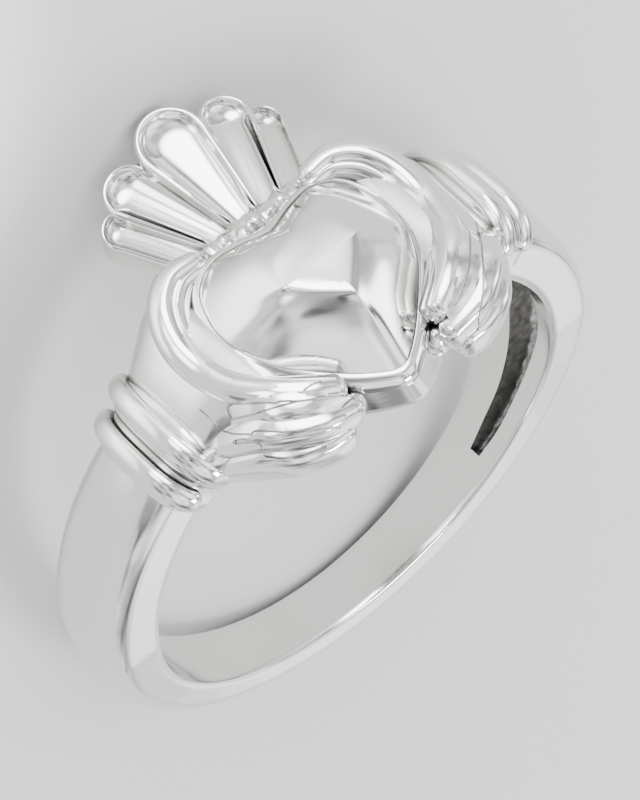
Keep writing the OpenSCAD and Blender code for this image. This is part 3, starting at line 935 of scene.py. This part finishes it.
# Dark cards in the tent, in the same way, with the share of the light that each takes away
cards = [(51, 40, 2, 7, 0.8), (272, 36, 2, 9, 0.8), (82, 6, 5, 16, 0.7), (150, 20, 6, 20, 0.5),
         (325, 30, 3, 12, 0.5)]
# The cloth of the tent hangs in folds, so its glow wanders between these
tent_dim, tent_bright = 0.42, 2.0


def toward(turn, up):
    """The direction that lies so far round from the front of the stage and so far up."""
    turn, up = math.radians(turn), math.radians(up)
    return (math.sin(turn) * math.cos(up), -math.cos(turn) * math.cos(up), math.sin(up))


def light_tent():
    world = bpy.data.worlds.new("light tent")
    world.use_nodes = True
    tree = world.node_tree
    place = add(tree, "ShaderNodeTexCoord")
    look = add(tree, "ShaderNodeVectorMath", {0: place.outputs["Generated"]}, operation="NORMALIZE")
    folds = add(tree, "ShaderNodeTexNoise", {"Vector": look.outputs[0], "Scale": 2.6, "Detail": 1.5})
    glow = add(tree, "ShaderNodeMapRange", {
        "Value": folds.outputs[0], "From Min": 0.36, "From Max": 0.64, "To Min": tent_dim,
        "To Max": tent_bright}).outputs["Result"]
    # A panel adds its light to the cloth's, and a card takes a share of what is there
    patches = [(*spot, "ADD", 0.0, power) for *spot, power in panels]
    patches += [(*spot, "MULTIPLY", 1.0, 1 - taken) for *spot, taken in cards]
    for turn, up, full, fade, operation, low, high in patches:
        near = add(tree, "ShaderNodeVectorMath", {0: look.outputs[0], 1: toward(turn, up)},
                   operation="DOT_PRODUCT")
        patch = add(tree, "ShaderNodeMapRange", {
            "Value": near.outputs["Value"], "From Min": math.cos(math.radians(fade)),
            "From Max": math.cos(math.radians(full)), "To Min": low, "To Max": high},
            interpolation_type="SMOOTHERSTEP")
        changed = add(tree, "ShaderNodeMath", {0: glow, 1: patch.outputs["Result"]},
                      operation=operation)
        glow = changed.outputs[0]
    cloth = tree.nodes["Background"]
    cloth.inputs["Color"].default_value = linear("#FAFBFF")
    tree.links.new(glow, cloth.inputs["Strength"])
    return world


bpy.context.scene.world = light_tent()

# A softbox hangs over the ring: degrees round from the front, degrees up, metres away
box_turn, box_up, box_away = 200, 68, 0.3
light = bpy.data.lights.new("top softbox", "AREA")
light.shape = "RECTANGLE"
light.size, light.size_y = 0.12, 0.09
light.energy = 0.66
softbox = bpy.data.objects.new("top softbox", light)
softbox.location = box_away * Vector(toward(box_turn, box_up))
softbox.rotation_euler = (-softbox.location).to_track_quat("-Z", "Y").to_euler()
bpy.context.scene.collection.objects.link(softbox)

# Camera in the upright ring's millimetres: where it stands, what it looks at, and what is up
photo_eye = (-60.1, -87.7, 169.4)
photo_aim = (0.95, 1.25, 1.0)
photo_up = (0.587, 0.609, 0.534)
eye, aim, above = (Vector(p) for p in lay_down([photo_eye, photo_aim, np.add(photo_aim, photo_up)]))
back = (eye - aim).normalized()
right = (above - aim).cross(back).normalized()
camera_data = bpy.data.cameras.new("camera")
camera_data.sensor_fit = "VERTICAL"
camera_data.sensor_height = 36
camera_data.lens = 270.4
camera_data.clip_start = 0.01
camera = bpy.data.objects.new("camera", camera_data)
camera_turn = Matrix((right, back.cross(right), back)).transposed()
camera.matrix_world = Matrix.Translation(eye) @ camera_turn.to_4x4()
bpy.context.scene.collection.objects.link(camera)
bpy.context.scene.camera = camera
